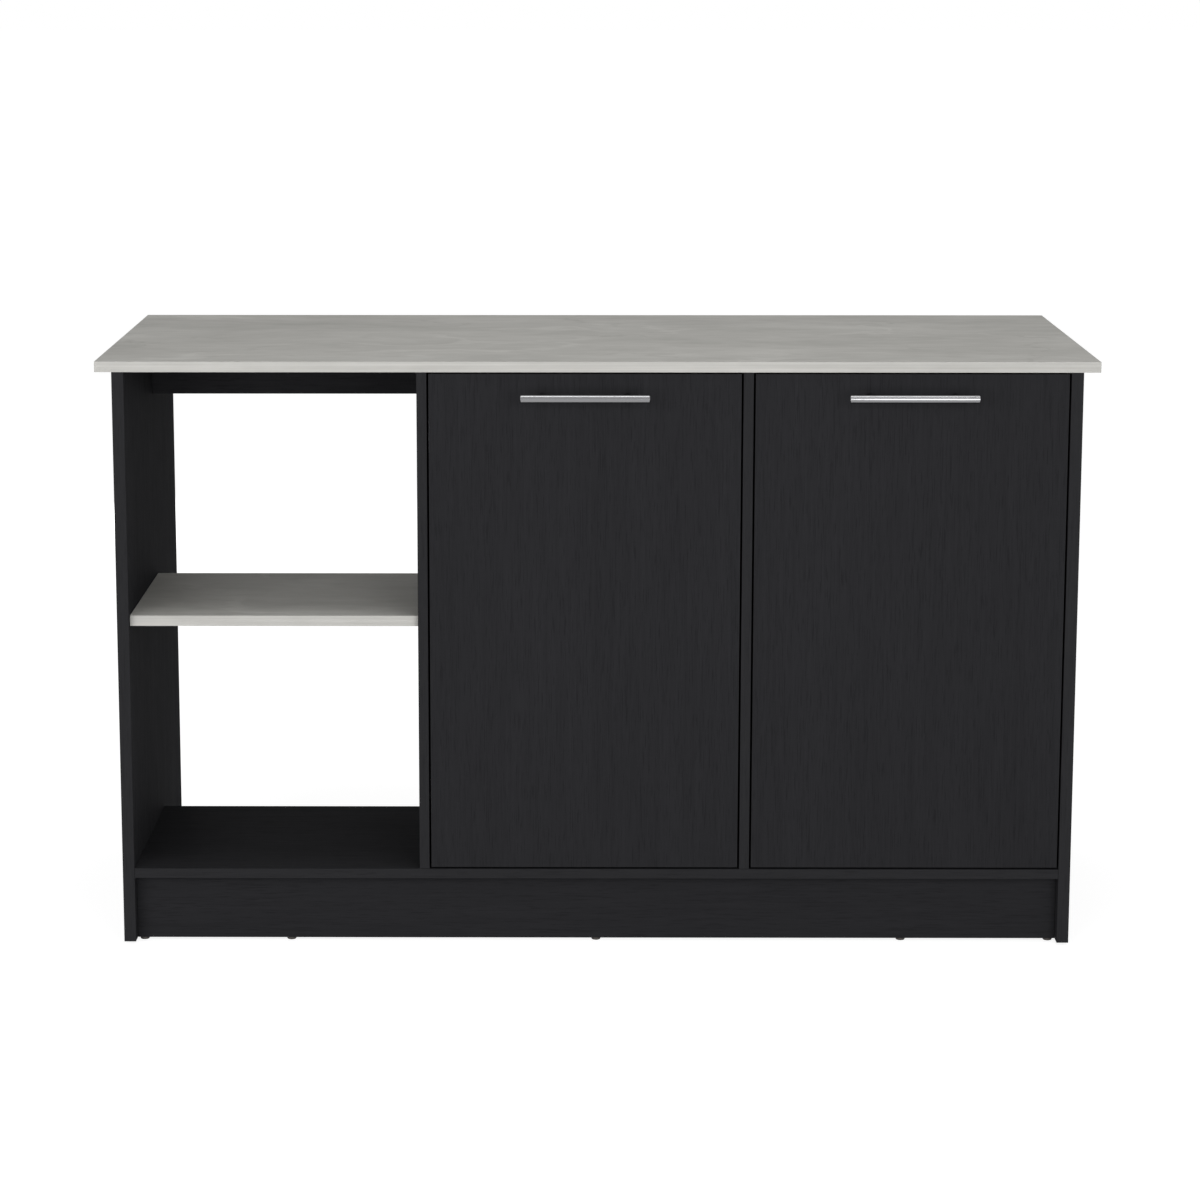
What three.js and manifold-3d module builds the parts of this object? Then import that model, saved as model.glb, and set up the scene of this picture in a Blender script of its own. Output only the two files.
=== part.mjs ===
// A kitchen island unit: a grey laminate worktop on a black laminate carcass, with an open shelf bay
// on the left, two hinged cupboards, and an open knee space behind them under the worktop.
// Millimetres, +Z up, the front facing -Y. The origin is the bottom centre of the whole unit's box.

import * as THREE from 'three';
import { mergeVertices } from 'three/addons/utils/BufferGeometryUtils.js';
import Module from 'manifold-3d';

// ---------------------------------------------------------------- driving dimensions

// Worktop
const unitHeight = 900;
const topWidth = 1500;
const topDepth = 670;
const topThickness = 16;
const topSideOverhang = 25;
const topRearOverhang = 25;
const topFrontOverhang = 2;

// Carcass boards; depths run back from the front plane of the side panels and doors
const panelThickness = 18;
const dividerThickness = 15;
const bottomThickness = 15;
const cabinetDepth = 395;
const openBayWidth = 437;
const backThickness = 15;
const plinthHeight = 101;
const plinthThickness = 15;
const plinthRecess = 25;
const rearPlinthRecess = 10;

// Open bay
const openShelfHeight = 512;
const openShelfThickness = 16;
const openShelfDepth = 365;
const openShelfRecess = 12;
const railHeight = 77;
const railThickness = 15;
const railRecess = 352;
const apronRecess = 20;

// Cupboard shelves and the pegs under them
const shelfHeight = 505;
const shelfThickness = 15;
const shelfRecess = 45;
const shelfSideClearance = 1;
const shelfRearClearance = 1;
const pegRadius = 2.5;
const pegLength = 15;
const pegHoleDepth = 6.5;
const pegInset = 40;

// Doors
const doorThickness = 15;
const doorSideGap = 3;
const doorTopGap = 2.5;
const doorBottomGap = 3;

// Door handles
const barLength = 192;
const barRadius = 6;
const barEndChamfer = 1;
const barStandOff = 40;
const barDrop = 32.5;
const postSpacing = 128;
const postRadius = 4.5;
const screwRadius = 2;
const screwGrip = 14;
const screwHeadRadius = 4.25;
const screwHeadHeight = 2.5;

// Concealed door hinges: a cup let into the door, a cranked arm on the upright, and the pin between them
const hingeInset = 100;
const cupBoreRadius = 17.5;
const cupBoreDepth = 12.5;
const cupEdgeDistance = 4;
const cupWall = 1;
const flangeThickness = 1.2;
const flangeHeight = 62;
const flangeWidth = 15;
const hingePinRadius = 1.5;
const knuckleWall = 1.2;
const armThickness = 2.5;
const armWidth = 12;
const armBarDepth = 9;
const armBarLength = 58;
const plateLength = 40;
const plateHeight = 52;
const plateThickness = 2;
const hingeRunningClearance = 1.2;

// Floor glides
const floorGap = 4;
const glideRadius = 7;
const glideChamfer = 0.8;
const plinthGlideEndInset = 10;
const plinthGlideMidDistance = 470;
const panelGlideInset = 60;

// Clearances: between boards that meet, round a rod in its hole, and past the face that a cutter opens
const seam = 0.3;
const fit = 0.25;
const overshoot = 1;

// Facets round a peg or screw, a post or glide, a handle bar and a hinge cup
const smallSides = 12;
const postSides = 16;
const barSides = 24;
const cupSides = 32;

// ---------------------------------------------------------------- sizes worked out from them

const bodyHalfWidth = topWidth / 2 - topSideOverhang;
const innerHalfWidth = bodyHalfWidth - panelThickness;
const panelDepth = topDepth - topFrontOverhang - topRearOverhang;
const topUnderside = unitHeight - topThickness;
const bottomUnderside = floorGap + plinthHeight;
const bottomTop = bottomUnderside + bottomThickness;

const leftDividerX = -innerHalfWidth + openBayWidth;
const cupboardWidth = (innerHalfWidth - leftDividerX - 2 * dividerThickness) / 2;
const leftCupboardX = leftDividerX + dividerThickness;
const rightDividerX = leftCupboardX + cupboardWidth;
const rightCupboardX = rightDividerX + dividerThickness;
const backFront = cabinetDepth - backThickness;

const doorWidth = cupboardWidth - 2 * doorSideGap;
const doorLow = bottomTop + doorBottomGap;
const doorHigh = topUnderside - doorTopGap;

// The pin stands behind the bore's floor by the knuckle's radius. It is far enough in from the door's
// hinge edge for the door's front corner to swing past the upright.
const cupFloor = doorThickness - cupBoreDepth + fit + cupWall;
const knuckleRadius = hingePinRadius + fit + knuckleWall;
const pinDepth = cupFloor + 2 * fit + knuckleRadius;
const cornerSweep = doorSideGap - hingeRunningClearance;
const pinInset = (pinDepth ** 2 - cornerSweep ** 2) / (2 * cornerSweep);
const backCornerReach = Math.hypot(pinInset, doorThickness - pinDepth);
const cupCentre = cupEdgeDistance + cupBoreRadius;
const cupRadius = cupBoreRadius - fit;

// The unit's box runs from the front of the handle bars to the rear edge of the worktop.
const unitFront = -(barStandOff + barRadius);
const unitRear = topDepth - topFrontOverhang;

// ---------------------------------------------------------------- materials

const blackLaminate = { color: 0x29292b, roughness: 0.55, metalness: 0 };
const greyLaminate = { color: 0xa8a7a2, roughness: 0.45, metalness: 0 };
const satinSteel = { color: 0xb9babd, roughness: 0.28, metalness: 1 };
const zincSteel = { color: 0xa9abad, roughness: 0.35, metalness: 1 };
const glidePlastic = { color: 0x3a3733, roughness: 0.6, metalness: 0 };

// ---------------------------------------------------------------- helpers

const wasm = await Module();
wasm.setup();

function toSolid(geometry) {
  const bare = geometry.clone();
  bare.deleteAttribute('normal');
  bare.deleteAttribute('uv');
  const merged = mergeVertices(bare, 1e-4);
  return new wasm.Manifold(new wasm.Mesh({
    numProp: 3,
    vertProperties: new Float32Array(merged.attributes.position.array),
    triVerts: new Uint32Array(merged.index.array),
  }));
}

function toGeometry(solid) {
  const mesh = solid.getMesh();
  const geometry = new THREE.BufferGeometry();
  geometry.setAttribute('position', new THREE.BufferAttribute(mesh.vertProperties, 3));
  geometry.setIndex(new THREE.BufferAttribute(mesh.triVerts, 1));
  geometry.computeVertexNormals();
  return geometry;
}

function join(geometries) {
  return toGeometry(geometries.map(toSolid).reduce((whole, piece) => whole.add(piece)));
}

function cut(geometry, cutters) {
  return toGeometry(cutters.reduce((whole, cutter) => whole.subtract(toSolid(cutter)), toSolid(geometry)));
}

function makeMesh(name, finish, geometry, x = 0, y = 0, z = 0) {
  const mesh = new THREE.Mesh(geometry, new THREE.MeshStandardMaterial(finish));
  mesh.name = name;
  mesh.position.set(x, y, z);
  return mesh;
}

// A rod along one axis, from one end to the other, with its axis through the point [x, y, z].
function rod(axis, radius, from, to, [x, y, z], sides = postSides) {
  const geometry = new THREE.CylinderGeometry(radius, radius, to - from, sides);
  geometry.translate(0, (from + to) / 2, 0);
  if (axis === 'x') geometry.rotateZ(-Math.PI / 2);
  if (axis === 'z') geometry.rotateX(Math.PI / 2);
  geometry.translate(x, y, z);
  return geometry;
}

// A flat board filling the spans x, y and z. Holes are cutters given where the board lies.
function makeBoard(name, finish, x, y, z, holes = []) {
  const centre = [x, y, z].map(([low, high]) => (low + high) / 2);
  const size = [x, y, z].map(([low, high]) => high - low);
  const box = new THREE.BoxGeometry(...size);
  if (holes.length === 0) return makeMesh(name, finish, box, ...centre);
  const cutters = holes.map((hole) => hole.translate(-centre[0], -centre[1], -centre[2]));
  return makeMesh(name, finish, cut(box, cutters), ...centre);
}

// ---------------------------------------------------------------- carcass

function makeTop() {
  const y = [-topFrontOverhang, unitRear];
  return makeBoard('countertop', greyLaminate, [-topWidth / 2, topWidth / 2], y, [topUnderside, unitHeight]);
}

// Each cupboard shelf rests on four pegs, two in the upright on either side of it.
function pegPlaces() {
  const front = shelfRecess + pegInset;
  const rear = backFront - shelfRearClearance - pegInset;
  const z = shelfHeight - shelfThickness - seam - pegRadius;
  return [front, rear].map((y) => [y, z]);
}

// direction is +1 where the holes open towards +X
function pegHoles(faceX, direction) {
  const [from, to] = direction > 0 ? [-pegHoleDepth, overshoot] : [-overshoot, pegHoleDepth];
  return pegPlaces().map(([y, z]) => rod('x', pegRadius + fit, from, to, [faceX, y, z], smallSides));
}

function makePanels() {
  const y = [0, panelDepth];
  const z = [floorGap, topUnderside - seam];
  const left = makeBoard('left_side_panel', blackLaminate, [-bodyHalfWidth, -innerHalfWidth], y, z);
  const rightX = [innerHalfWidth, bodyHalfWidth];
  const right = makeBoard('right_side_panel', blackLaminate, rightX, y, z, pegHoles(innerHalfWidth, -1));
  return [left, right];
}

function makeDividers() {
  const y = [0, cabinetDepth];
  const z = [bottomTop + seam, topUnderside - seam];
  const leftX = [leftDividerX, leftCupboardX];
  const rightX = [rightDividerX, rightCupboardX];
  return [
    makeBoard('left_divider', blackLaminate, leftX, y, z, pegHoles(leftCupboardX, 1)),
    makeBoard('right_divider', blackLaminate, rightX, y, z, [
      ...pegHoles(rightDividerX, -1),
      ...pegHoles(rightCupboardX, 1),
    ]),
  ];
}

function makeBase() {
  const x = [-innerHalfWidth + seam, innerHalfWidth - seam];
  const z = [floorGap, bottomUnderside - seam];
  const rearPlinthBack = cabinetDepth - rearPlinthRecess;
  return [
    makeBoard('bottom_board', blackLaminate, x, [0, cabinetDepth], [bottomUnderside, bottomTop]),
    makeBoard('front_plinth', blackLaminate, x, [plinthRecess, plinthRecess + plinthThickness], z),
    makeBoard('rear_plinth', blackLaminate, x, [rearPlinthBack - plinthThickness, rearPlinthBack], z),
  ];
}

function makeOpenBay() {
  const x = [-innerHalfWidth + seam, leftDividerX - seam];
  const shelfY = [openShelfRecess, openShelfRecess + openShelfDepth];
  const shelfZ = [openShelfHeight - openShelfThickness, openShelfHeight];
  const railZ = [topUnderside - railHeight, topUnderside - seam];
  return [
    makeBoard('open_bay_shelf', greyLaminate, x, shelfY, shelfZ),
    makeBoard('open_bay_back_rail', blackLaminate, x, [railRecess, railRecess + railThickness], railZ),
  ];
}

// The rail under the worktop's rear edge, between the side panels and behind the knee space
function makeRearApron() {
  const x = [-innerHalfWidth + seam, innerHalfWidth - seam];
  const back = panelDepth - apronRecess;
  const z = [topUnderside - railHeight, topUnderside - seam];
  return makeBoard('rear_apron', blackLaminate, x, [back - railThickness, back], z);
}

function makeCupboardInside(side, cupboardX) {
  const backX = [cupboardX + seam, cupboardX + cupboardWidth - seam];
  const backZ = [bottomTop + seam, topUnderside - seam];
  const shelfX = [cupboardX + shelfSideClearance, cupboardX + cupboardWidth - shelfSideClearance];
  const shelfY = [shelfRecess, backFront - shelfRearClearance];
  const shelfZ = [shelfHeight - shelfThickness, shelfHeight];
  const pegs = [];
  for (const [faceX, direction] of [[cupboardX, 1], [cupboardX + cupboardWidth, -1]]) {
    for (const [y, z] of pegPlaces()) {
      const middle = faceX + direction * (pegLength / 2 - pegHoleDepth + seam);
      const peg = rod('x', pegRadius, -pegLength / 2, pegLength / 2, [0, 0, 0], smallSides);
      pegs.push(makeMesh(`${side}_shelf_peg_${pegs.length + 1}`, zincSteel, peg, middle, y, z));
    }
  }
  return [
    makeBoard(`${side}_cupboard_back`, blackLaminate, backX, [backFront, cabinetDepth], backZ),
    makeBoard(`${side}_cupboard_shelf`, blackLaminate, shelfX, shelfY, shelfZ),
    ...pegs,
  ];
}

function makeGlides() {
  const height = floorGap - seam;
  const profile = [
    [0, 0],
    [glideRadius - glideChamfer, 0],
    [glideRadius, glideChamfer],
    [glideRadius, height],
    [0, height],
  ].map(([radius, z]) => new THREE.Vector2(radius, z));
  const glide = (name, x, y) => {
    const geometry = new THREE.LatheGeometry(profile, postSides).rotateX(Math.PI / 2);
    return makeMesh(name, glidePlastic, geometry, x, y);
  };
  const plinthEnd = innerHalfWidth - plinthGlideEndInset;
  const frontY = plinthRecess + plinthThickness / 2;
  const rearY = cabinetDepth - rearPlinthRecess - plinthThickness / 2;
  const panelX = bodyHalfWidth - panelThickness / 2;
  const frontX = [-plinthEnd, -plinthGlideMidDistance, 0, plinthGlideMidDistance, plinthEnd];
  const rearX = [-plinthEnd, 0, plinthEnd];
  return [
    ...frontX.map((x, index) => glide(`front_plinth_glide_${index + 1}`, x, frontY)),
    ...rearX.map((x, index) => glide(`rear_plinth_glide_${index + 1}`, x, rearY)),
    glide('left_panel_front_glide', -panelX, panelGlideInset),
    glide('left_panel_rear_glide', -panelX, panelDepth - panelGlideInset),
    glide('right_panel_front_glide', panelX, panelGlideInset),
    glide('right_panel_rear_glide', panelX, panelDepth - panelGlideInset),
  ];
}

// ---------------------------------------------------------------- doors

// The round bar, the two posts that hold it off the door, and the screws that come through the door
// into the posts. Local X is along the bar, and the door's front face is at Y = 0.
function makeHandle(side) {
  const handle = new THREE.Group();
  const half = barLength / 2;
  const barProfile = [
    [0, -half],
    [barRadius - barEndChamfer, -half],
    [barRadius, -half + barEndChamfer],
    [barRadius, half - barEndChamfer],
    [barRadius - barEndChamfer, half],
    [0, half],
  ].map(([radius, y]) => new THREE.Vector2(radius, y));
  const bar = new THREE.LatheGeometry(barProfile, barSides).rotateZ(-Math.PI / 2);
  handle.add(makeMesh(`${side}_handle_bar`, satinSteel, bar, 0, -barStandOff, 0));

  [-postSpacing / 2, postSpacing / 2].forEach((x, index) => {
    const post = cut(rod('y', postRadius, -barStandOff, -seam, [0, 0, 0]), [
      rod('x', barRadius + seam, -postRadius * 2, postRadius * 2, [0, -barStandOff, 0], barSides),
      rod('y', screwRadius + fit, -screwGrip - seam, 0, [0, 0, 0], smallSides),
    ]);
    const screw = join([
      rod('y', screwRadius, -screwGrip, doorThickness + seam + screwHeadHeight / 2, [0, 0, 0], smallSides),
      rod('y', screwHeadRadius, doorThickness + seam, doorThickness + seam + screwHeadHeight, [0, 0, 0]),
    ]);
    handle.add(makeMesh(`${side}_handle_post_${index + 1}`, satinSteel, post, x));
    handle.add(makeMesh(`${side}_handle_screw_${index + 1}`, zincSteel, screw, x));
  });
  return handle;
}

// The hollow cup in the door and its flange on the door's back, on an axis along Y
function makeCup(name) {
  const floor = doorThickness - cupBoreDepth + fit;
  const flangeLow = doorThickness + seam;
  const flangeHigh = flangeLow + flangeThickness;
  const flange = new THREE.BoxGeometry(flangeWidth, flangeThickness, flangeHeight);
  flange.translate(0, (flangeLow + flangeHigh) / 2, 0);
  const rim = rod('y', cupRadius + cupWall, flangeLow, flangeHigh, [0, 0, 0], cupSides);
  const shell = rod('y', cupRadius, floor, flangeHigh, [0, 0, 0], cupSides);
  const hollow = rod('y', cupRadius - cupWall, cupFloor, flangeHigh + overshoot, [0, 0, 0], cupSides);
  return makeMesh(name, zincSteel, cut(join([shell, rim, flange]), [hollow]));
}

// The cranked arm. It leaves the pin inside the cup, turns back outside the reach of the door's rear
// corner, crosses to the upright and is fixed there by its plate. Local X and Y start at the pin.
function makeArm(name, direction) {
  const turn = backCornerReach + hingeRunningClearance;
  const low = -armThickness / 2;
  const outer = turn + armThickness;
  const uprightX = -pinInset - doorSideGap + seam;
  const barLow = uprightX + plateThickness;
  const barHigh = barLow + armBarDepth;
  const barEnd = turn + armBarLength;
  const outline = [
    [0, low],
    [outer, low],
    [outer, outer],
    [barHigh, outer],
    [barHigh, barEnd],
    [barLow, barEnd],
    [barLow, turn],
    [turn, turn],
    [turn, -low],
    [0, -low],
  ].map(([x, y]) => new THREE.Vector2(direction * x, y));
  const strip = new THREE.ExtrudeGeometry(new THREE.Shape(outline), { depth: armWidth, bevelEnabled: false });
  strip.translate(0, 0, -armWidth / 2);

  const plate = new THREE.BoxGeometry(plateThickness + seam, plateLength, plateHeight);
  const plateX = direction * (uprightX + (plateThickness + seam) / 2);
  plate.translate(plateX, barEnd - plateLength / 2, 0);
  const knuckle = rod('z', knuckleRadius, -armWidth / 2, armWidth / 2, [0, 0, 0]);
  const pinHole = rod('z', hingePinRadius + fit, -armWidth, armWidth, [0, 0, 0], smallSides);
  return makeMesh(name, zincSteel, cut(join([strip, plate, knuckle]), [pinHole]));
}

function makeHingePin(name) {
  const offset = cupCentre - pinInset + hingePinRadius;
  const half = Math.sqrt((cupRadius - cupWall) ** 2 - offset ** 2) - fit;
  return makeMesh(name, zincSteel, rod('z', hingePinRadius, -half, half, [0, 0, 0], smallSides));
}

// A door with its handle and hinges, in a group on the hinge pins' axis. direction is +1 for a door
// hinged on its left edge, whose local X runs from the hinge edge to the free edge.
function makeDoor(side, hingeEdgeX, direction) {
  const group = new THREE.Group();
  group.position.set(hingeEdgeX + direction * pinInset, pinDepth, 0);
  const hingeEdge = -direction * pinInset;
  const freeEdge = hingeEdge + direction * doorWidth;
  const middleX = (hingeEdge + freeEdge) / 2;
  const cupX = hingeEdge + direction * cupCentre;
  const front = -pinDepth;
  const handleZ = doorHigh - barDrop;
  const levels = [['lower', doorLow + hingeInset], ['upper', doorHigh - hingeInset]];

  const boreEnd = doorThickness + overshoot;
  const holes = levels.map(([, z]) => (
    rod('y', cupBoreRadius, doorThickness - cupBoreDepth, boreEnd, [cupX, front, z], cupSides)
  ));
  for (const x of [middleX - postSpacing / 2, middleX + postSpacing / 2]) {
    holes.push(rod('y', screwRadius + fit, -overshoot, boreEnd, [x, front, handleZ], smallSides));
  }
  const x = [Math.min(hingeEdge, freeEdge), Math.max(hingeEdge, freeEdge)];
  const y = [front, front + doorThickness];
  group.add(makeBoard(`${side}_door`, blackLaminate, x, y, [doorLow, doorHigh], holes));

  const handle = makeHandle(side);
  handle.position.set(middleX, front, handleZ);
  group.add(handle);

  for (const [level, z] of levels) {
    const cup = makeCup(`${side}_${level}_hinge_cup`);
    cup.position.set(cupX, front, z);
    const arm = makeArm(`${side}_${level}_hinge_arm`, direction);
    arm.position.z = z;
    const pin = makeHingePin(`${side}_${level}_hinge_pin`);
    pin.position.z = z;
    group.add(cup, arm, pin);
  }
  return group;
}

// ---------------------------------------------------------------- the unit

const unit = new THREE.Group();
unit.position.y = -(unitFront + unitRear) / 2;
unit.add(
  makeTop(),
  ...makePanels(),
  ...makeDividers(),
  ...makeBase(),
  ...makeOpenBay(),
  makeRearApron(),
  ...makeCupboardInside('left', leftCupboardX),
  ...makeCupboardInside('right', rightCupboardX),
  ...makeGlides(),
  makeDoor('left', leftCupboardX + doorSideGap, 1),
  makeDoor('right', rightCupboardX + cupboardWidth - doorSideGap, -1),
);

const island = new THREE.Group();
island.add(unit);

export default island;
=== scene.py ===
import math

import bmesh
import bpy
from mathutils import Matrix, Vector


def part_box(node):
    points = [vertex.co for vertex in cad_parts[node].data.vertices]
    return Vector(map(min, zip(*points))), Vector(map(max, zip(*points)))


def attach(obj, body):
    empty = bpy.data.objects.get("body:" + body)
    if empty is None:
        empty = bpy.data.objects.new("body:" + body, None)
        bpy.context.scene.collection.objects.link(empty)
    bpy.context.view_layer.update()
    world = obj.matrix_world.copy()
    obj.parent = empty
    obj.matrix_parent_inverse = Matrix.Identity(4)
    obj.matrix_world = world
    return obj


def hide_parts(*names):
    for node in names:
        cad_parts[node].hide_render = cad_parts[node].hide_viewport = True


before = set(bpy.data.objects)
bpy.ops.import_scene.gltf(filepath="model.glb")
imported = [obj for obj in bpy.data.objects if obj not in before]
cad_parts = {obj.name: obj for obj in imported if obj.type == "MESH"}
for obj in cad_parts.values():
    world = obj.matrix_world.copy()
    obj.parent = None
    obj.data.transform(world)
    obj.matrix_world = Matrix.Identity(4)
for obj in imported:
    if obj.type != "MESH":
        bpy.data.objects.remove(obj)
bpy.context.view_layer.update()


# ------------------------------------------------------------------------------ bottom board and plinths
# The bottom board runs through from side panel to side panel, and the plinths stand under it, set back.
# Chipboard in black laminate with an open wood grain, which lies along the unit here, and a slightly
# paler band on the edges.

class Shade:
    """A socket of a material's nodes. Arithmetic on it adds Math nodes."""

    def __init__(self, tree, socket=None):
        self.tree = tree
        self.socket = socket

    def node(self, kind, settings=None, inputs=None, output=0):
        """Adds a node: its settings first, then the values or links of its sockets."""
        made = self.tree.nodes.new(kind)
        for name, value in (settings or {}).items():
            setattr(made, name, value)
        for name, value in (inputs or {}).items():
            if isinstance(value, Shade):
                self.tree.links.new(value.socket, made.inputs[name])
            else:
                made.inputs[name].default_value = value
        if made.outputs:
            return Shade(self.tree, made.outputs[output])

    def maths(self, operation, *values):
        return self.node("ShaderNodeMath", {"operation": operation}, dict(enumerate(values)))

    def __add__(self, other):
        return self.maths("ADD", self, other)

    def __sub__(self, other):
        return self.maths("SUBTRACT", self, other)

    def __rsub__(self, other):
        return self.maths("SUBTRACT", other, self)

    def __mul__(self, other):
        return self.maths("MULTIPLY", self, other)

    __radd__ = __add__
    __rmul__ = __mul__

    def __abs__(self):
        return self.maths("ABSOLUTE", self)

    def rise(self, low, high):
        """0 below low and 1 above high, with a smooth rise between them."""
        limits = {"Value": self, "From Min": low, "From Max": high}
        return self.node("ShaderNodeMapRange", {"interpolation_type": "SMOOTHSTEP"}, limits)

    def mix(self, first, second):
        """The colour this far from the first to the second."""
        factor, first_colour, second_colour, mixed_colour = 0, 6, 7, 2
        return self.node("ShaderNodeMix", {"data_type": "RGBA"},
                         {factor: self, first_colour: first, second_colour: second}, mixed_colour)

    def moved(self, direction, distance):
        """This position, moved by a distance that may change from point to point."""
        step = self.node("ShaderNodeVectorMath", {"operation": "SCALE"}, {0: direction, "Scale": distance})
        return self.node("ShaderNodeVectorMath", {"operation": "ADD"}, {0: self, 1: step})

    def noise(self, per_metre, detail=2.0, roughness=0.5, start=(0, 0, 0)):
        """Noise at this position, around 0.5, with so many features a metre along X, Y and Z."""
        placed = {"Vector": self, "Scale": per_metre, "Location": start}
        pattern = {"Vector": self.node("ShaderNodeMapping", inputs=placed), "Scale": 1.0}
        return self.node("ShaderNodeTexNoise", inputs=pattern | {"Detail": detail, "Roughness": roughness})

    def swing(self, *settings, **named_settings):
        """The same noise, around 0."""
        return self.noise(*settings, **named_settings) - 0.5

    def relief(self, height):
        """The normal of a surface on which this value from 0 to 1 stands so high, in metres."""
        return self.node("ShaderNodeBump", inputs={"Height": self, "Distance": height, "Strength": 1.0})

    def surface(self, inputs):
        """Ends the material in one shader."""
        shader = self.node("ShaderNodeBsdfPrincipled", inputs=inputs)
        self.node("ShaderNodeOutputMaterial", inputs={"Surface": shader})


def start_material(name):
    """An empty material, and the position on the piece that its pattern reads."""
    material = bpy.data.materials.new(name)
    material.use_nodes = True
    material.node_tree.nodes.clear()
    return material, Shade(material.node_tree).node("ShaderNodeTexCoord", output="Object")


X, Y, Z = range(3)       # the axes: X to the right, Y to the rear and Z up


def along_grain(axis, lengthwise, across):
    """One number on the grain's axis, and another on the two axes across it."""
    return tuple(lengthwise if other == axis else across for other in (X, Y, Z))


grain_sway = 0.003
pore_relief = 0.00006
black_shine = 0.005


def black_wood(name, axis, pale, dark, pore):
    """Black laminate printed and pressed with a wood grain along an axis. The print runs from a pale to a
    dark tone in streaks, and the pores are pressed in and darker."""
    material, position = start_material(name)
    sway = position.swing(along_grain(axis, 4, 30))
    grain = position.moved(along_grain(axis, 0, 1), grain_sway * sway)
    pores = grain.noise(along_grain(axis, 27, 620)).rise(low=0.52, high=0.7)
    streaks = grain.swing(along_grain(axis, 9, 240), detail=3, start=(4, 4, 4))
    figure = grain.swing(along_grain(axis, 1.3, 15), start=(8, 1, 5))
    tone = 0.5 + 1.5 * streaks + 0.9 * figure
    position.surface({
        "Base Color": (0.65 * pores).mix(tone.mix(dark, pale), pore),
        "Roughness": 0.74 - 0.2 * streaks + 0.1 * pores,
        "Specular IOR Level": black_shine,
        "Normal": (0.6 * streaks - pores).relief(pore_relief),
    })
    return material


face_pale = (0.0217, 0.0217, 0.0238, 1)
face_dark = (0.0179, 0.0179, 0.0196, 1)
face_pore = (0.0139, 0.0139, 0.0152, 1)
band_pale = (0.0239, 0.0239, 0.0257, 1)
band_dark = (0.0203, 0.0203, 0.0219, 1)
band_pore = (0.0169, 0.0169, 0.0182, 1)


def black_boards(word, axis):
    """The face and the edge band of a black board with its grain along an axis."""
    return [black_wood(f"black_{word}_grain_laminate", axis, face_pale, face_dark, face_pore),
            black_wood(f"black_{word}_grain_edge_band", axis, band_pale, band_dark, band_pore)]


def moved(shape, *matrices):
    """The shape under one transform after another, the last one first."""
    whole = Matrix.Identity(4)
    for matrix in matrices:
        whole = whole @ matrix
    bmesh.ops.transform(shape, matrix=whole, verts=shape.verts)
    return shape


def block(low, high):
    """A box between two corners."""
    shape = bmesh.new()
    bmesh.ops.create_cube(shape, size=1)
    low, high = Vector(low), Vector(high)
    return moved(shape, Matrix.Translation((low + high) / 2), Matrix.Diagonal((*(high - low), 1)))


def round_edges(shape, radius, steps, chosen=lambda edge: True):
    """Rounds the edges that a test picks, or else all of them."""
    edges = [edge for edge in shape.edges if chosen(edge)]
    bmesh.ops.bevel(shape, geom=edges, offset=radius, offset_type="OFFSET", affect="EDGES",
                    segments=steps, profile=0.5, material=-1)
    return shape


aligned = 0.99           # how much of a unit vector has to lie on the axis
mostly_aligned = 0.8


def face_towards(shape, axis, side):
    """The largest face that looks along an axis, forwards on side 1 and backwards on side -1."""
    shape.normal_update()
    looking = [face for face in shape.faces if face.normal[axis] * side > aligned]
    return max(looking, key=lambda face: face.calc_area())


board_arris = 0.00045    # metres, as all sizes here
arris_steps = 3
band_thickness = 0.0009
joint_width = 0.00008
joint_depth = 0.00005


def board_shape(low, high, across, ends=None):
    """A banded board between two corners: rounded arrises, and on both faces, square to the axis across,
    the fine joint where the laminate meets the edge band. Faces take material 0 and edges material 1,
    or 2 on the ends that are square to another axis."""
    shape = round_edges(block(low, high), board_arris, arris_steps)
    shape.normal_update()
    for face in shape.faces:
        on_an_end = ends is not None and abs(face.normal[ends]) > mostly_aligned
        face.material_index = 2 if on_an_end else 1
    for side in (-1, 1):
        laminate = face_towards(shape, across, side)
        steps = ((band_thickness - board_arris, 0), (joint_width, -joint_depth), (joint_width, joint_depth))
        for width, height in steps:
            bmesh.ops.inset_region(shape, faces=[laminate], thickness=width, depth=height,
                                   use_even_offset=True)
        laminate.material_index = 0
    return shape


def mesh_of(shape, name):
    """The shape as a mesh, which uses the shape up."""
    mesh = bpy.data.meshes.new(name)
    shape.to_mesh(mesh)
    shape.free()
    return mesh


def add_object(name, data):
    """An object in the scene that holds a mesh, a lamp or a camera."""
    added = bpy.data.objects.new(name, data)
    bpy.context.scene.collection.objects.link(added)
    return added


def place(shape, name, materials, body, slot, *nodes):
    """Makes a piece of a shape and puts it on its body in the place of its CAD nodes."""
    mesh = mesh_of(shape, name)
    for material in materials:
        mesh.materials.append(material)
    piece = add_object(name, mesh)
    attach(piece, body)
    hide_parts(*nodes)


def place_board(node, name, materials, slot, across):
    """Puts a banded board in the place of a board of the carcass."""
    place(board_shape(*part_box(node), across), name, materials, "carcass", slot, node)


black_level = black_boards("level", X)
for node, across in (("bottom_board", Z), ("front_plinth", Y), ("rear_plinth", Y)):
    place_board(node, f"{node}_length", black_level, "black_laminate", across)


# ------------------------------------------------------------------------------ side panels and dividers
# The uprights: 18 mm side panels down to their floor glides, and 15 mm dividers standing on the bottom
# board. The same black laminate, with its grain upright.

black_upright = black_boards("upright", Z)
for node in ("left_side_panel", "right_side_panel", "left_divider", "right_divider"):
    place_board(node, f"{node}_board", black_upright, "black_laminate", across=X)


# ------------------------------------------------------------------------------ open bay shelf
# The one shelf of the open bay: 16 mm chipboard, faced in grey stone-effect laminate and banded in the
# same decor on its four edges. It is dowelled between the left side panel and the left divider.

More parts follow.
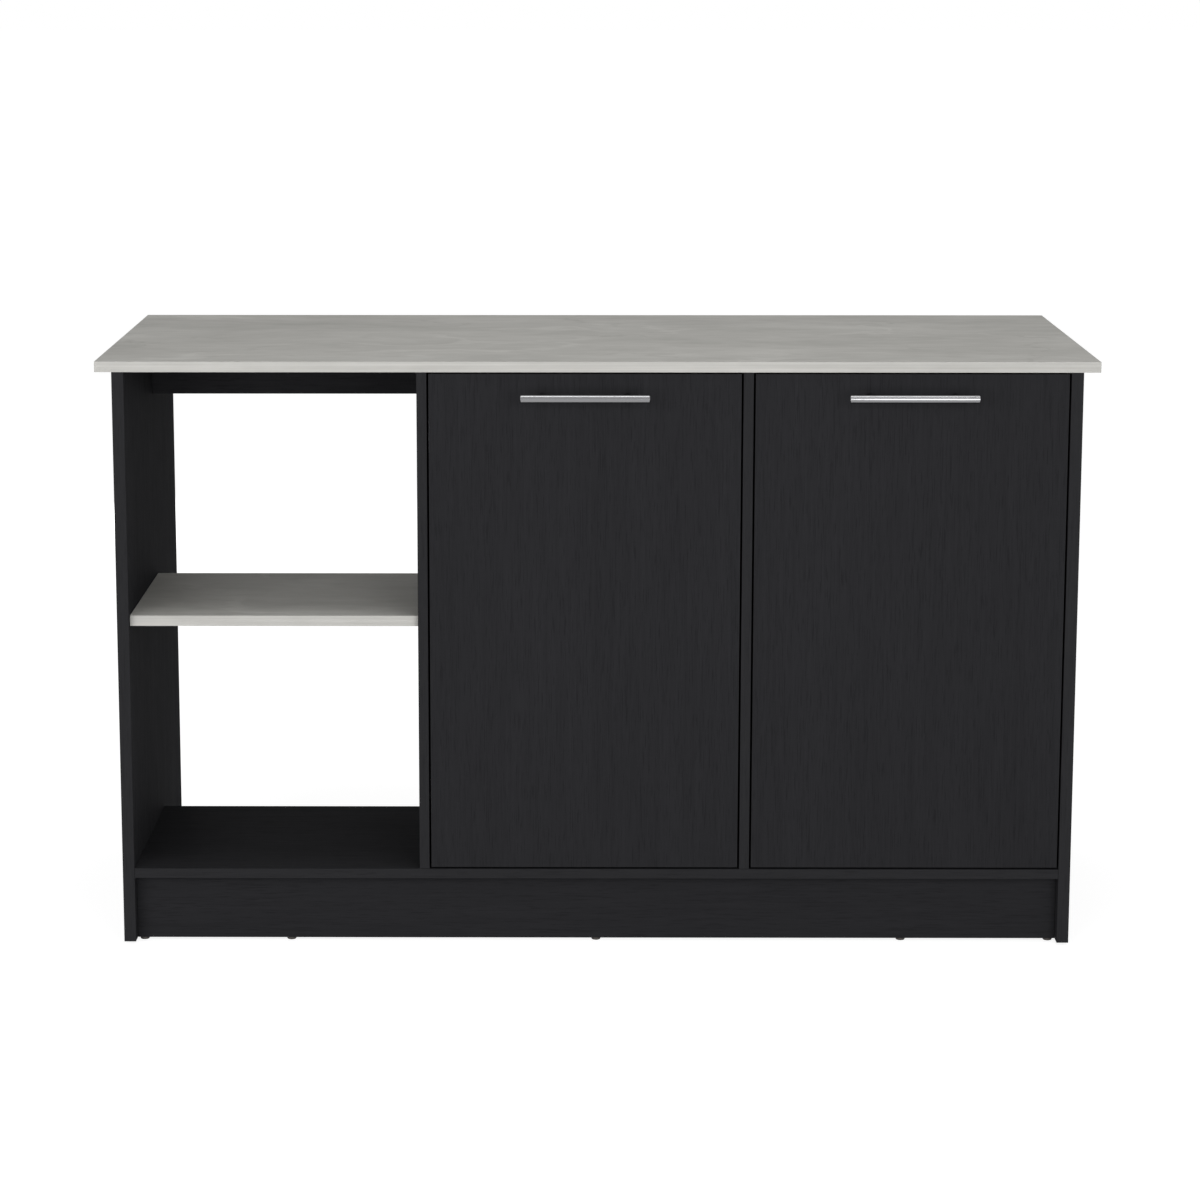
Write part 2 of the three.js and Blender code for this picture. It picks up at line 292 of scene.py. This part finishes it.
def vein(position, per_metre, width, start):
    """1 on thin lines that wander over the board and come and go, and 0 beside them."""
    features = (per_metre, 1.4 * per_metre, per_metre)
    ridge = abs(position.swing(features, detail=4, roughness=0.55, start=start))
    stretch = position.noise((3.1, 4.3, 4.3), start=start[::-1]).rise(low=0.47, high=0.6)
    return (1 - ridge.rise(low=0.15 * width, high=width)) * stretch


stone_dark = (0.389, 0.382, 0.3575, 1)
stone_pale = (0.5385, 0.530, 0.501, 1)
stone_band_dark = (0.406, 0.3995, 0.3797, 1)
stone_band_pale = (0.494, 0.4876, 0.4663, 1)
stone_drift = 0.16
stone_shine = 0.06
stone_relief = 0.00004
stone_band_relief = 0.00003


def grey_stone_face():
    """Pale grey stone: clouds a few hands wide, a finer mottle, and pale and dark veins through them."""
    material, position = start_material("grey_stone_laminate")
    drift = position.swing((2.6, 3.4, 3.4), detail=3, roughness=0.6, start=(3, 3, 3))
    drawn = position.moved(direction=(1, 0.7, 0), distance=stone_drift * drift)
    clouds = drawn.swing((3.4, 8, 8), detail=5, roughness=0.58)
    mottle = drawn.swing((16, 42, 42), detail=4, roughness=0.62, start=(5, 3, 1))
    pale_veins = vein(drawn, per_metre=2.3, width=0.024, start=(2, 7, 4))
    dark_veins = vein(drawn, per_metre=3.1, width=0.013, start=(6, 1, 9))
    speckle = position.swing((420, 420, 420), detail=1)
    tone = 0.47 + 1.45 * clouds + 0.75 * mottle + 0.3 * pale_veins - 0.28 * dark_veins + 0.15 * speckle
    position.surface({
        "Base Color": tone.mix(stone_dark, stone_pale),
        "Roughness": 0.62 - 0.15 * mottle,
        "Specular IOR Level": stone_shine,
        "Normal": (mottle + speckle).relief(stone_relief),
    })
    return material


def grey_stone_edge():
    """The same decor on the edge band, whose smears run along the edge."""
    material, position = start_material("grey_stone_edge_band")
    lines = position.swing((2.2, 2.2, 420), roughness=0.6)
    blots = position.swing((13, 13, 60), detail=3, start=(3, 8, 2))
    tone = 0.5 + 1.8 * lines + 0.9 * blots
    position.surface({
        "Base Color": tone.mix(stone_band_dark, stone_band_pale),
        "Roughness": 0.58 - 0.2 * lines,
        "Specular IOR Level": stone_shine,
        "Normal": lines.relief(stone_band_relief),
    })
    return material


grey_stone = [grey_stone_face(), grey_stone_edge()]
place_board("open_bay_shelf", "open_shelf_board", grey_stone, "grey_laminate", across=Z)


# ------------------------------------------------------------------------------ rails
# Two narrow black boards on edge under the worktop: one across the open bay's rear, and one along the
# rear of the knee space. Each ties two uprights together and holds the worktop's screws.

for node in ("open_bay_back_rail", "rear_apron"):
    place_board(node, f"{node}_board", black_level, "black_laminate", across=Y)


# ------------------------------------------------------------------------------ cupboard backs
# Each cupboard has a fixed 15 mm back in the black laminate, with upright grain. It stands on the bottom
# board, between two uprights.

for side in ("left", "right"):
    place_board(f"{side}_cupboard_back", f"{side}_cupboard_back_board", black_upright, "black_laminate",
                across=Y)


# ------------------------------------------------------------------------------ shelf pegs
# Plain 5 mm steel pegs, pushed into blind holes in the uprights, with chamfered ends and a shallow groove
# that keeps the shelf from sliding off.

zinc_dark = (0.40, 0.41, 0.42, 1)
zinc_pale = (0.56, 0.57, 0.58, 1)
scratch_relief = 0.00001


def bright_zinc():
    """Zinc plate on pressed and turned steel: a soft shine with a faint cloudiness."""
    material, position = start_material("bright_zinc_plate")
    clouds = position.swing((160, 160, 160), detail=3)
    scratches = position.swing((900, 90, 900))
    tone = 0.5 + 1.5 * clouds
    position.surface({
        "Base Color": tone.mix(zinc_dark, zinc_pale),
        "Metallic": 0.85,
        "Roughness": 0.4 + 0.25 * clouds + 0.1 * scratches,
        "Normal": scratches.relief(scratch_relief),
    })
    return material


smooth_below = math.radians(32)
merge_distance = 0.000001


def soften(shape):
    """Smooth shading that keeps the sharper edges."""
    for face in shape.faces:
        face.smooth = True
    for edge in shape.edges:
        edge.smooth = edge.calc_face_angle(0) < smooth_below
    return shape


def turned(profile, sides, closed=False):
    """A shape turned round the Z axis from (radius, height) points. A closed profile makes a ring."""
    shape = bmesh.new()
    points = [shape.verts.new((radius, 0, height)) for radius, height in profile]
    ends = points[1:] + points[:1] if closed else points[1:]
    edges = [shape.edges.new(pair) for pair in zip(points, ends)]
    bmesh.ops.spin(shape, geom=points + edges, cent=(0, 0, 0), axis=(0, 0, 1), dvec=(0, 0, 0),
                   angle=math.tau, steps=sides, use_merge=True)
    bmesh.ops.remove_doubles(shape, verts=shape.verts, dist=merge_distance)
    bmesh.ops.recalc_face_normals(shape, faces=shape.faces)
    return soften(shape)


def rod_end(radius, half, chamfer):
    """The profile of a rod's upper end, from its side over the chamfer to its axis."""
    return [(radius, half - chamfer), (radius - chamfer, half), (0, half)]


def mirrored(profile):
    """The profile's other half, below the middle."""
    return [(radius, -height) for radius, height in reversed(profile)]


def quarter_turn(axis, quarters=1):
    """A turn about an axis through the origin."""
    return Matrix.Rotation(quarters * math.pi / 2, 4, "XYZ"[axis])


peg_radius = 0.0025
peg_chamfer = 0.0005
peg_sides = 32
groove_depth = 0.0003
groove_half_width = 0.0015
zinc = [bright_zinc()]
for side in ("left", "right"):
    for number in range(1, 5):
        node = f"{side}_shelf_peg_{number}"
        low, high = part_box(node)
        groove = [(peg_radius - groove_depth, 0), (peg_radius - groove_depth, groove_half_width),
                  (peg_radius, groove_half_width + groove_depth)]
        upper = groove + rod_end(peg_radius, (high.x - low.x) / 2, peg_chamfer)
        peg = moved(turned(mirrored(upper[1:]) + upper, peg_sides),
                    Matrix.Translation((low + high) / 2), quarter_turn(Y))
        place(peg, f"{node}_pin", zinc, "carcass", "fitting_steel", node)


# ------------------------------------------------------------------------------ cupboard shelves
# One loose 15 mm shelf in each cupboard, in the black laminate, with its grain along the unit. It lies on
# its four pegs, a little clear of the uprights and the back.

for side in ("left", "right"):
    place_board(f"{side}_cupboard_shelf", f"{side}_cupboard_shelf_board", black_level, "black_laminate",
                across=Z)


# ------------------------------------------------------------------------------ worktop
# The same 16 mm grey stone-effect board as the open bay's shelf, banded on its four edges. It lies on the
# uprights and overhangs the side panels, by 25 mm at the sides and rear and by 2 mm in front.

place_board("countertop", "worktop_board", grey_stone, "grey_laminate", across=Z)


# ------------------------------------------------------------------------------ doors
# Two inset 15 mm doors in the black laminate with upright grain, banded on all four edges with the grain
# along each band. Each has a blind 35 mm bore in its back for each hinge cup, and two holes through it for
# the handle screws.

cup_bore_radius = 0.0175
cup_bore_depth = 0.0125
screw_hole_radius = 0.00225
bore_sides = 64
cutter_overrun = 0.001


def drill(centre, radius, front, back):
    """A round cutter along Y between two depths."""
    cutter = bmesh.new()
    middle = Matrix.Translation((centre.x, (front + back) / 2, centre.z))
    bmesh.ops.create_cone(cutter, cap_ends=True, segments=bore_sides, radius1=radius, radius2=radius,
                          depth=back - front, matrix=middle @ quarter_turn(X, -1))
    return cutter


def cut(shape, cutters):
    """The shape, with the cutters' shapes taken out of it."""
    solids = [add_object("blank", mesh_of(part, "blank")) for part in (shape, *cutters)]
    for cutter in solids[1:]:
        opening = solids[0].modifiers.new("opening", "BOOLEAN")
        opening.solver = "EXACT"
        opening.object = cutter
    bpy.context.view_layer.update()
    result = bmesh.new()
    result.from_object(solids[0], bpy.context.evaluated_depsgraph_get())
    for solid in solids:
        bpy.data.objects.remove(solid)
    return result


def middle_of(node):
    low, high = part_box(node)
    return (low + high) / 2


for side in ("left", "right"):
    low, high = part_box(f"{side}_door")
    back = high.y + cutter_overrun
    bores = [drill(middle_of(f"{side}_{level}_hinge_cup"), cup_bore_radius, high.y - cup_bore_depth, back)
             for level in ("lower", "upper")]
    holes = [drill(middle_of(f"{side}_handle_screw_{number}"), screw_hole_radius,
                   low.y - cutter_overrun, back) for number in (1, 2)]
    door = cut(board_shape(low, high, across=Y, ends=Z), bores + holes)
    place(door, f"{side}_door_board", [*black_upright, black_level[1]], f"{side}_door", "black_laminate",
          f"{side}_door")


# ------------------------------------------------------------------------------ handles
# A 12 mm steel bar on two round posts, brushed along its length. The posts are welded to the bar's back
# and stand on the door, where a pan head screw from inside holds each of them.

steel_dark = (0.205, 0.205, 0.211, 1)
steel_pale = (0.255, 0.255, 0.262, 1)
brush_relief = 0.000004


def brushed_steel():
    """Polished steel with fine lines along the bar, which blur its reflections a little across."""
    material, position = start_material("brushed_handle_steel")
    lines = position.swing((9, 1900, 1900))
    haze = position.swing((25, 60, 60), start=(3, 3, 3))
    tone = 0.5 + 1.2 * lines
    position.surface({
        "Base Color": tone.mix(steel_dark, steel_pale),
        "Metallic": 1.0,
        "Roughness": 0.15 + 0.12 * lines + 0.08 * haze,
        "Normal": lines.relief(brush_relief),
    })
    return material


def arc(middle, height, radius, start, end, steps):
    """Points (radius, height) on a round stretch of a profile, from one angle to another in degrees."""
    turns = [math.radians(start + (end - start) * number / steps) for number in range(steps + 1)]
    return [(middle + radius * math.cos(turn), height + radius * math.sin(turn)) for turn in turns]


def joined(shapes):
    """One shape of several."""
    whole = bmesh.new()
    for shape in shapes:
        mesh = mesh_of(shape, "part")
        whole.from_mesh(mesh)
        bpy.data.meshes.remove(mesh)
    return whole


head_round = 0.45        # of a screw head's height
recess_depth = 0.55      # of its height
recess_length = 1.25     # of its radius
recess_width = 0.24      # of its radius
head_sides = 32
head_round_steps = 4


def cross_head(radius, height):
    """A domed screw head on the Z plane, with a cross recess."""
    bend = head_round * height
    outline = [(0, 0), (radius, 0)] + arc(radius - bend, height - bend, bend, 0, 90, head_round_steps)
    dome = turned(outline + [(0, height)], head_sides)
    corner = Vector((recess_length * radius / 2, recess_width * radius / 2, recess_depth * height))
    blades = [moved(block(-corner, corner), Matrix.Translation((0, 0, height)), quarter_turn(Z, quarters))
              for quarters in (0, 1)]
    return soften(cut(dome, blades))


bar_radius = 0.006
bar_end_chamfer = 0.0007
bar_sides = 96
post_radius = 0.0045
post_foot_chamfer = 0.0004
post_sides = 48
weld_throat = 0.0006
screw_radius = 0.00195
screw_sides = 24
steel = [brushed_steel()]
for side in ("left", "right"):
    low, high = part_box(f"{side}_handle_bar")
    bar_middle = (low + high) / 2
    end = rod_end(bar_radius, (high.x - low.x) / 2, bar_end_chamfer)
    bar = moved(turned(mirrored(end) + end, bar_sides), Matrix.Translation(bar_middle), quarter_turn(Y))
    place(bar, f"{side}_handle_rod", steel, f"{side}_door", "handle_steel", f"{side}_handle_bar")

    door_low, door_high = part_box(f"{side}_door")
    for number in (1, 2):
        post_middle = middle_of(f"{side}_handle_post_{number}")
        length = door_low.y - bar_middle.y
        weld = length - bar_radius
        profile = [(0, 0), (post_radius - post_foot_chamfer, 0), (post_radius, post_foot_chamfer),
                   (post_radius, weld - 2 * weld_throat), (post_radius + weld_throat, weld + weld_throat),
                   (post_radius, length), (0, length)]
        foot = Matrix.Translation((post_middle.x, door_low.y, post_middle.z))
        place(moved(turned(profile, post_sides), foot, quarter_turn(X)), f"{side}_handle_leg_{number}",
              steel, f"{side}_door", "handle_steel", f"{side}_handle_post_{number}")

        screw_low, screw_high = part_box(f"{side}_handle_screw_{number}")
        head = cross_head((screw_high.x - screw_low.x) / 2, screw_high.y - door_high.y)
        tip = screw_low.y - door_high.y
        shank = turned([(0, tip), (screw_radius, tip), (screw_radius, 0), (0, 0)], screw_sides)
        seat = Matrix.Translation((post_middle.x, door_high.y, post_middle.z))
        place(moved(joined([head, shank]), seat, quarter_turn(X, -1)), f"{side}_handle_bolt_{number}",
              zinc, f"{side}_door", "fitting_steel", f"{side}_handle_screw_{number}")


# ------------------------------------------------------------------------------ hinges
# Concealed hinges of pressed and zinc-plated steel: a deep-drawn cup with a screwed flange in the door,
# and a cranked arm that turns round a pin in the cup and is held to the upright by its plate.

press_edge = 0.00025
press_edge_steps = 3
plate_corner_steps = 6
hinge_screw_radius = 0.0036
hinge_screw_height = 0.0011
sharp_above = math.radians(50)
same_spot = 0.00001


def runs_along(axis):
    """A test for the edges that lie along an axis."""
    return lambda edge: abs((edge.verts[0].co - edge.verts[1].co).normalized()[axis]) > aligned


def is_sharp(edge):
    return edge.calc_face_angle(0) > sharp_above


def rounded_plate(low, high, corner, axis, edge=press_edge):
    """A plate with round corners about an axis and rounded edges."""
    shape = round_edges(block(low, high), corner, plate_corner_steps, runs_along(axis))
    return soften(round_edges(shape, edge, press_edge_steps, is_sharp))


cup_wall = 0.001
cup_corner = 0.0022
cup_corner_steps = 6
cup_sides = 64
rim_lap = 0.00095
rim_round = 0.0004
rim_round_steps = 3
lip_round = 0.0006
lip_round_steps = 4
ear_lap = 0.0003
ear_corner = 0.0048
flange_width = 0.015
flange_screw_spacing = 0.048
sunk_screw_height = 0.00066
sunk_screw_depth = 0.0001


def hinge_cup(node):
    """The cup and its flange, turned about the line along Y through the cup's middle."""
    low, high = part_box(node)
    rim_radius = (high.x - low.x) / 2
    outer = rim_radius - rim_lap
    inner = outer - cup_wall
    flange = high.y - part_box(node.split("_")[0] + "_door")[1].y
    floor = low.y - high.y
    outside = [(0, floor)] + arc(outer - cup_corner, floor + cup_corner, cup_corner, -90, 0,
                                 cup_corner_steps)
    rim = [(outer, -flange), (rim_radius, -flange)]
    rim += arc(rim_radius - rim_round, -rim_round, rim_round, 0, 90, rim_round_steps)
    lip = arc(inner + lip_round, -lip_round, lip_round, 90, 180, lip_round_steps)
    inside = arc(inner - cup_corner, floor + cup_wall + cup_corner, cup_corner, 0, -90, cup_corner_steps)
    parts = [turned(outside + rim + lip + inside + [(0, floor + cup_wall)], cup_sides)]
    reach = (high.z - low.z) / 2
    for direction in (-1, 1):
        ends = sorted((direction * (inner + ear_lap), direction * reach))
        ear_low = (-flange_width / 2, ends[0], -flange)
        ear_high = (flange_width / 2, ends[1], 0)
        parts.append(rounded_plate(ear_low, ear_high, ear_corner, Z))
        spot = Matrix.Translation((0, direction * flange_screw_spacing / 2, -sunk_screw_depth))
        parts.append(moved(cross_head(hinge_screw_radius, sunk_screw_height), spot))
    place_cup = Matrix.Translation((middle_of(node).x, high.y, (low.z + high.z) / 2))
    return moved(joined(parts), place_cup, quarter_turn(X, -1))


arm_width = 0.012
arm_thickness = 0.0025
arm_outer_bend = 0.0032
arm_outer_bend_steps = 6
arm_inner_bend = 0.0009
arm_inner_bend_steps = 3
arm_edge_steps = 2
channel_depth = 0.009
channel_wall = 0.0016
channel_recess = 0.014
channel_edge = 0.0014
channel_edge_steps = 4
channel_screw_insets = (0.011, 0.036)
plate_thickness = 0.002
plate_length = 0.040
plate_corner = 0.005
plate_edge = 0.0009
plate_screw_spacing = 0.032
knuckle_hole = 0.00175
knuckle_radius = 0.00295
knuckle_sides = 40


def hinge_arm(node, pin, turn):
    """The arm, with the pin at the origin, X away from the upright, Y to the rear and Z up."""
    low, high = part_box(node)
    outer = high.x - pin.x if turn > 0 else pin.x - low.x
    upright = low.x - pin.x if turn > 0 else pin.x - high.x
    rear = high.y - pin.y
    inner = outer - arm_thickness
    half = arm_thickness / 2
    seat = upright + plate_thickness
    channel_middle = seat + channel_depth / 2
    strip = bmesh.new()
    outline = [(0, -half), (outer, -half), (outer, outer), (channel_middle, outer),
               (channel_middle, inner), (inner, inner), (inner, half), (0, half)]
    face = strip.faces.new([strip.verts.new((x, y, -arm_width / 2)) for x, y in outline])
    raised = bmesh.ops.extrude_face_region(strip, geom=[face])["geom"]
    bmesh.ops.translate(strip, vec=(0, 0, arm_width),
                        verts=[part for part in raised if isinstance(part, bmesh.types.BMVert)])
    bmesh.ops.recalc_face_normals(strip, faces=strip.faces)

    def at_bend(corners):
        near = [Vector(corner) for corner in corners]
        upright_edge = runs_along(Z)
        return lambda edge: upright_edge(edge) and any(
            (edge.verts[0].co.xy - spot).length < same_spot for spot in near)

    round_edges(strip, arm_outer_bend, arm_outer_bend_steps, at_bend([(outer, -half), (outer, outer)]))
    round_edges(strip, arm_inner_bend, arm_inner_bend_steps, at_bend([(inner, inner), (inner, half)]))
    round_edges(strip, press_edge, arm_edge_steps, is_sharp)

    channel = block((seat, inner, -arm_width / 2), (seat + channel_depth, rear, arm_width / 2))

    def on_the_outside(edge):
        return runs_along(Y)(edge) and edge.verts[0].co.x > channel_middle

    round_edges(channel, channel_edge, channel_edge_steps, on_the_outside)
    mouth = face_towards(channel, Y, 1)
    bmesh.ops.inset_region(channel, faces=[mouth], thickness=channel_wall, depth=0, use_even_offset=True)
    bmesh.ops.translate(channel, vec=(0, -channel_recess, 0), verts=mouth.verts)

    reach = (high.z - low.z) / 2
    plate = rounded_plate((upright, rear - plate_length, -reach), (seat, rear, reach), plate_corner, X,
                          plate_edge)
    ring = [(knuckle_hole, -arm_width / 2), (knuckle_radius, -arm_width / 2),
            (knuckle_radius, arm_width / 2), (knuckle_hole, arm_width / 2)]
    parts = [soften(strip), soften(channel), plate, turned(ring, knuckle_sides, closed=True)]
    screws = [(seat, rear - plate_length / 2, side * plate_screw_spacing / 2) for side in (-1, 1)]
    screws += [(seat + channel_depth, rear - inset, 0) for inset in channel_screw_insets]
    for spot in screws:
        parts.append(moved(cross_head(hinge_screw_radius, hinge_screw_height), Matrix.Translation(spot),
                           quarter_turn(Y)))
    to_side = quarter_turn(Y, 0 if turn > 0 else 2)
    return moved(joined(parts), Matrix.Translation(pin), to_side)


pin_chamfer = 0.0003
pin_sides = 24
for side, turn in (("left", 1), ("right", -1)):
    for level in ("lower", "upper"):
        hinge = f"{side}_{level}_hinge"
        pin_low, pin_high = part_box(f"{hinge}_pin")
        pin = (pin_low + pin_high) / 2
        place(hinge_cup(f"{hinge}_cup"), f"{hinge}_pressed_cup", zinc, f"{side}_door", "fitting_steel",
              f"{hinge}_cup")
        place(hinge_arm(f"{hinge}_arm", pin, turn), f"{hinge}_cranked_arm", zinc, "carcass",
              "fitting_steel", f"{hinge}_arm")
        end = rod_end((pin_high.x - pin_low.x) / 2, (pin_high.z - pin_low.z) / 2, pin_chamfer)
        place(moved(turned(mirrored(end) + end, pin_sides), Matrix.Translation(pin)), f"{hinge}_axle",
              zinc, f"{side}_door", "fitting_steel", f"{hinge}_pin")


# ------------------------------------------------------------------------------ floor glides
# Nail-on glides of dark grey-brown plastic, five under the front plinth, three under the rear one and
# two under each side panel. They lift the boards' raw edges 4 mm off the floor.

plastic_dark = (0.036, 0.032, 0.028, 1)
plastic_pale = (0.054, 0.048, 0.042, 1)
plastic_shine = 0.3
moulded_relief = 0.00003


def glide_plastic():
    """Moulded plastic with a fine matt texture."""
    material, position = start_material("moulded_glide_plastic")
    texture = position.noise((1500, 1500, 1500), detail=1)
    clouds = position.noise((120, 120, 120))
    position.surface({
        "Base Color": clouds.mix(plastic_dark, plastic_pale),
        "Roughness": 0.45 + 0.2 * texture,
        "Specular IOR Level": plastic_shine,
        "Normal": texture.relief(moulded_relief),
    })
    return material


glide_foot_radius = 0.0016
glide_foot_steps = 6
glide_neck = 0.0005      # how far it is set in, and its height
glide_slope = 0.001      # the height of the slope below it
glide_sides = 40
plastic = [glide_plastic()]
glides = [f"front_plinth_glide_{number}" for number in range(1, 6)]
glides += [f"rear_plinth_glide_{number}" for number in range(1, 4)]
glides += [f"{side}_panel_{end}_glide" for side in ("left", "right") for end in ("front", "rear")]
for node in glides:
    low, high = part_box(node)
    radius = (high.x - low.x) / 2
    neck = high.z - low.z - glide_neck
    foot = arc(radius - glide_foot_radius, glide_foot_radius, glide_foot_radius, -90, 0, glide_foot_steps)
    profile = [(0, 0)] + foot + [(radius, neck - glide_slope), (radius - glide_neck, neck),
                                 (radius - glide_neck, high.z - low.z), (0, high.z - low.z)]
    spot = Matrix.Translation((middle_of(node).x, middle_of(node).y, low.z))
    place(moved(turned(profile, glide_sides), spot), f"{node}_disc", plastic, "carcass", "glide_plastic",
          node)


# ------------------------------------------------------------------------------ floor and background
# A plain pale studio floor under a white background. The camera and reflections see both white, the floor
# with the unit's soft shadow on it, and the light that they throw on the unit is kept lower.

def seen_directly(tree):
    """1 where the camera looks, straight or by a reflection or through glass, and 0 for other light."""
    straight, reflected, through_glass = (
        Shade(tree).node("ShaderNodeLightPath", output=ray)
        for ray in ("Is Camera Ray", "Is Glossy Ray", "Is Transmission Ray"))
    return straight.maths("MAXIMUM", straight.maths("MAXIMUM", straight, reflected), through_glass)


white = (1, 1, 1, 1)
no_light = (0, 0, 0, 1)
floor_half_size = 60.0
floor_glow = (0.84, 0.84, 0.84, 1)
floor_seen = (0.42, 0.42, 0.42, 1)
floor_colour = (0.78, 0.78, 0.77, 1)
floor_shape = bmesh.new()
bmesh.ops.create_grid(floor_shape, x_segments=1, y_segments=1, size=floor_half_size)
floor = add_object("floor", mesh_of(floor_shape, "floor"))
floor_material, floor_position = start_material("pale_floor")
seen = seen_directly(floor_position.tree)
floor_position.surface({
    "Base Color": seen.mix(floor_colour, floor_seen),
    "Roughness": 0.9,
    "Specular IOR Level": 0.0,
    "Emission Color": seen.mix(no_light, floor_glow),
    "Emission Strength": 1.0,
})
floor.data.materials.append(floor_material)

room_light = (0.40, 0.40, 0.40, 1)
world = bpy.data.worlds.new("studio")
bpy.context.scene.world = world
world.use_nodes = True
world.node_tree.nodes.clear()
seen = seen_directly(world.node_tree)
background = seen.node("ShaderNodeBackground", inputs={
    "Color": seen.mix(room_light, white),
    "Strength": 1.0,
})
seen.node("ShaderNodeOutputWorld", inputs={"Surface": background})


# ------------------------------------------------------------------------------ lights
# Soft studio light: a wide softbox on each side of the camera, the right one nearer to it, one overhead
# and a low strip behind, for the rear boards. Their edges also give the handle bars their bright bands.

def softbox(name, centre, target, size, level):
    """A soft lamp of a width and height, aimed at a target, at a level where 1 is white."""
    lamp = bpy.data.lights.new(name, "AREA")
    lamp.shape = "RECTANGLE"
    lamp.size, lamp.size_y = size
    lamp.energy = level * math.pi * size[0] * size[1]
    holder = add_object(name, lamp)
    holder.location = centre
    holder.rotation_euler = (Vector(target) - Vector(centre)).to_track_quat("-Z", "Y").to_euler()
    holder.visible_camera = False


softbox("right_softbox", centre=(1.46, -4.1, 1.1), target=(0.1, -0.3, 0.6), size=(1.7, 2.2), level=5.6)
softbox("left_softbox", centre=(-2.1, -3.9, 1.15), target=(-0.1, -0.3, 0.6), size=(3.0, 2.3), level=3.7)
softbox("overhead_softbox", centre=(0.3, -0.7, 3.1), target=(0.3, -0.7, 0.9), size=(1.15, 0.5), level=6.8)
softbox("rear_softbox", centre=(-2.4, 3.2, 0.3), target=(0, 0, 0.4), size=(3.0, 0.4), level=10)


# ------------------------------------------------------------------------------ camera
# A long lens in front, a little left of the middle and above the worktop, which looks down by about
# 11 degrees. Its shift sets the unit in the picture without turning the camera.

look_down = 0.18554
look_left = 0.00505
camera_data = bpy.data.cameras.new("camera")
camera_data.sensor_width = 36
camera_data.lens = 104.22
camera_data.shift_x = 0.0375
camera_data.clip_end = 200
camera = add_object("camera", camera_data)
camera.location = (-0.0370, -5.4604, 1.5054)
camera.rotation_euler = (math.pi / 2 - look_down, 0, look_left)
bpy.context.scene.camera = camera
bpy.context.scene.view_settings.view_transform = "Standard"
